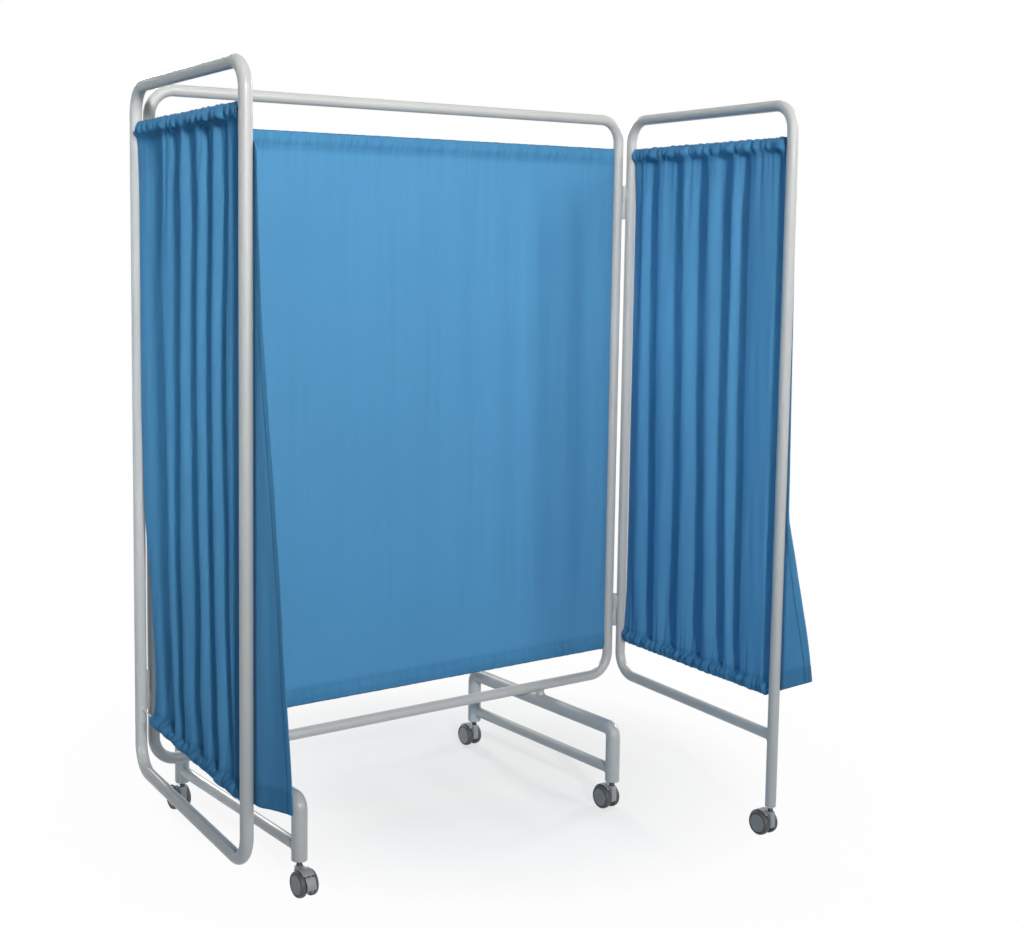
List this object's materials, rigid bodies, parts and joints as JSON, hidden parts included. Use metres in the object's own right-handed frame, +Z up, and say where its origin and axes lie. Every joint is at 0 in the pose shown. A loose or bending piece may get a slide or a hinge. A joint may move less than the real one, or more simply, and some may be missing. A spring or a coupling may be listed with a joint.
{
  "type": "folding ward privacy screen on wheels",
  "caption": "Folding ward privacy screen: a wide centre panel on wheeled feet with a hinged wing on each side, tubular frames and gathered cloth curtains on rods.",
  "frame": {"origin": "middle of the footprint on the floor, at the height of the lowest wheel flat", "axes": "+X along the centre panel towards the wing that has a leg, +Y from the wings towards the back of the centre panel, +Z up"},
  "size_m": [1.438, 1.1108, 1.6695],
  "materials": {
    "painted_tube": "satin light grey powder coat",
    "bright_steel": "bright zinc",
    "curtain_cloth": "matt mid-blue woven cloth",
    "tread": "matt dark grey",
    "hub_plastic": "matt mid grey",
    "hood_plastic": "satin grey"
  },
  "bodies": {
    "centre_panel": {"centre_frame": "painted_tube", "centre_top_rod": "bright_steel", "centre_bottom_rod": "bright_steel", "centre_curtain": "curtain_cloth", "left_foot_hoop": "painted_tube", "left_foot_stretcher": "painted_tube", "right_foot_hoop": "painted_tube", "right_foot_stretcher": "painted_tube", "front_left_caster_stem": "bright_steel", "front_right_caster_stem": "bright_steel", "rear_left_caster_stem": "bright_steel", "rear_right_caster_stem": "bright_steel", "left_upper_hinge_frame_barrel": "painted_tube", "left_lower_hinge_frame_barrel": "painted_tube", "right_upper_hinge_frame_barrel": "painted_tube", "right_lower_hinge_frame_barrel": "painted_tube"},
    "left_wing": {"left_upper_hinge_wing_barrel": "painted_tube", "left_lower_hinge_wing_barrel": "painted_tube", "left_wing_frame": "painted_tube", "left_wing_top_rod": "bright_steel", "left_wing_bottom_rod": "bright_steel", "left_wing_curtain": "curtain_cloth"},
    "right_wing": {"right_upper_hinge_wing_barrel": "painted_tube", "right_lower_hinge_wing_barrel": "painted_tube", "right_wing_frame": "painted_tube", "right_wing_top_rod": "bright_steel", "right_wing_bottom_rod": "bright_steel", "right_wing_curtain": "curtain_cloth", "right_wing_caster_stem": "bright_steel"},
    "front_left_caster": {"front_left_caster_hood": "hood_plastic", "front_left_caster_axle": "bright_steel"},
    "front_left_caster_wheel_1": {"front_left_caster_wheel_1": "tread", "front_left_caster_hub_cap_1": "hub_plastic"},
    "front_left_caster_wheel_2": {"front_left_caster_wheel_2": "tread", "front_left_caster_hub_cap_2": "hub_plastic"},
    "front_left_caster_pedal": {"front_left_caster_brake_pedal": "hood_plastic"},
    "front_right_caster": {"front_right_caster_hood": "hood_plastic", "front_right_caster_axle": "bright_steel"},
    "front_right_caster_wheel_1": {"front_right_caster_wheel_1": "tread", "front_right_caster_hub_cap_1": "hub_plastic"},
    "front_right_caster_wheel_2": {"front_right_caster_wheel_2": "tread", "front_right_caster_hub_cap_2": "hub_plastic"},
    "rear_left_caster": {"rear_left_caster_hood": "hood_plastic", "rear_left_caster_axle": "bright_steel"},
    "rear_left_caster_wheel_1": {"rear_left_caster_wheel_1": "tread", "rear_left_caster_hub_cap_1": "hub_plastic"},
    "rear_left_caster_wheel_2": {"rear_left_caster_wheel_2": "tread", "rear_left_caster_hub_cap_2": "hub_plastic"},
    "rear_right_caster": {"rear_right_caster_hood": "hood_plastic", "rear_right_caster_axle": "bright_steel"},
    "rear_right_caster_wheel_1": {"rear_right_caster_wheel_1": "tread", "rear_right_caster_hub_cap_1": "hub_plastic"},
    "rear_right_caster_wheel_2": {"rear_right_caster_wheel_2": "tread", "rear_right_caster_hub_cap_2": "hub_plastic"},
    "right_wing_caster": {"right_wing_caster_hood": "hood_plastic", "right_wing_caster_axle": "bright_steel"},
    "right_wing_caster_wheel_1": {"right_wing_caster_wheel_1": "tread", "right_wing_caster_hub_cap_1": "hub_plastic"},
    "right_wing_caster_wheel_2": {"right_wing_caster_wheel_2": "tread", "right_wing_caster_hub_cap_2": "hub_plastic"}
  },
  "joints": [
    {"name": "left_wing_hinge", "type": "hinge", "parent": "centre_panel", "child": "left_wing", "pos_m": [-0.62786, 0.22192, 0.928], "axis": [0, 0, 1], "range_deg": [-80, 90]},
    {"name": "right_wing_hinge", "type": "hinge", "parent": "centre_panel", "child": "right_wing", "pos_m": [0.69059, 0.22192, 0.928], "axis": [0, 0, -1], "range_deg": [-92, 70]},
    {"name": "front_left_caster_swivel", "type": "hinge", "parent": "centre_panel", "child": "front_left_caster", "pos_m": [-0.41263, -0.04799, 0.06], "axis": [0, 0, 1], "continuous": true},
    {"name": "front_left_caster_wheel_1_spin", "type": "hinge", "parent": "front_left_caster", "child": "front_left_caster_wheel_1", "pos_m": [-0.41263, -0.06799, 0.0275], "axis": [1, 0, 0], "continuous": true},
    {"name": "front_left_caster_wheel_2_spin", "type": "hinge", "parent": "front_left_caster", "child": "front_left_caster_wheel_2", "pos_m": [-0.41263, -0.06799, 0.0275], "axis": [1, 0, 0], "continuous": true},
    {"name": "front_left_brake_pedal_pivot", "type": "hinge", "parent": "front_left_caster", "child": "front_left_caster_pedal", "pos_m": [-0.41263, -0.08651, 0.04197], "axis": [1, 0, 0], "range_deg": [0, 8]},
    {"name": "front_right_caster_swivel", "type": "hinge", "parent": "centre_panel", "child": "front_right_caster", "pos_m": [0.45087, -0.04799, 0.06], "axis": [0, 0, 1], "continuous": true},
    {"name": "front_right_caster_wheel_1_spin", "type": "hinge", "parent": "front_right_caster", "child": "front_right_caster_wheel_1", "pos_m": [0.45087, -0.02799, 0.0275], "axis": [1, 0, 0], "continuous": true},
    {"name": "front_right_caster_wheel_2_spin", "type": "hinge", "parent": "front_right_caster", "child": "front_right_caster_wheel_2", "pos_m": [0.45087, -0.02799, 0.0275], "axis": [1, 0, 0], "continuous": true},
    {"name": "rear_left_caster_swivel", "type": "hinge", "parent": "centre_panel", "child": "rear_left_caster", "pos_m": [-0.41263, 0.50401, 0.06], "axis": [0, 0, 1], "continuous": true},
    {"name": "rear_left_caster_wheel_1_spin", "type": "hinge", "parent": "rear_left_caster", "child": "rear_left_caster_wheel_1", "pos_m": [-0.41263, 0.52401, 0.0275], "axis": [1, 0, 0], "continuous": true},
    {"name": "rear_left_caster_wheel_2_spin", "type": "hinge", "parent": "rear_left_caster", "child": "rear_left_caster_wheel_2", "pos_m": [-0.41263, 0.52401, 0.0275], "axis": [1, 0, 0], "continuous": true},
    {"name": "rear_right_caster_swivel", "type": "hinge", "parent": "centre_panel", "child": "rear_right_caster", "pos_m": [0.45087, 0.50401, 0.06], "axis": [0, 0, 1], "continuous": true},
    {"name": "rear_right_caster_wheel_1_spin", "type": "hinge", "parent": "rear_right_caster", "child": "rear_right_caster_wheel_1", "pos_m": [0.45087, 0.52401, 0.0275], "axis": [1, 0, 0], "continuous": true},
    {"name": "rear_right_caster_wheel_2_spin", "type": "hinge", "parent": "rear_right_caster", "child": "rear_right_caster_wheel_2", "pos_m": [0.45087, 0.52401, 0.0275], "axis": [1, 0, 0], "continuous": true},
    {"name": "right_wing_caster_swivel", "type": "hinge", "parent": "right_wing", "child": "right_wing_caster", "pos_m": [0.64513, -0.37066, 0.06], "axis": [0, 0, 1], "continuous": true},
    {"name": "right_wing_caster_wheel_1_spin", "type": "hinge", "parent": "right_wing_caster", "child": "right_wing_caster_wheel_1", "pos_m": [0.64513, -0.35066, 0.0275], "axis": [1, 0, 0], "continuous": true},
    {"name": "right_wing_caster_wheel_2_spin", "type": "hinge", "parent": "right_wing_caster", "child": "right_wing_caster_wheel_2", "pos_m": [0.64513, -0.35066, 0.0275], "axis": [1, 0, 0], "continuous": true}
  ]
}
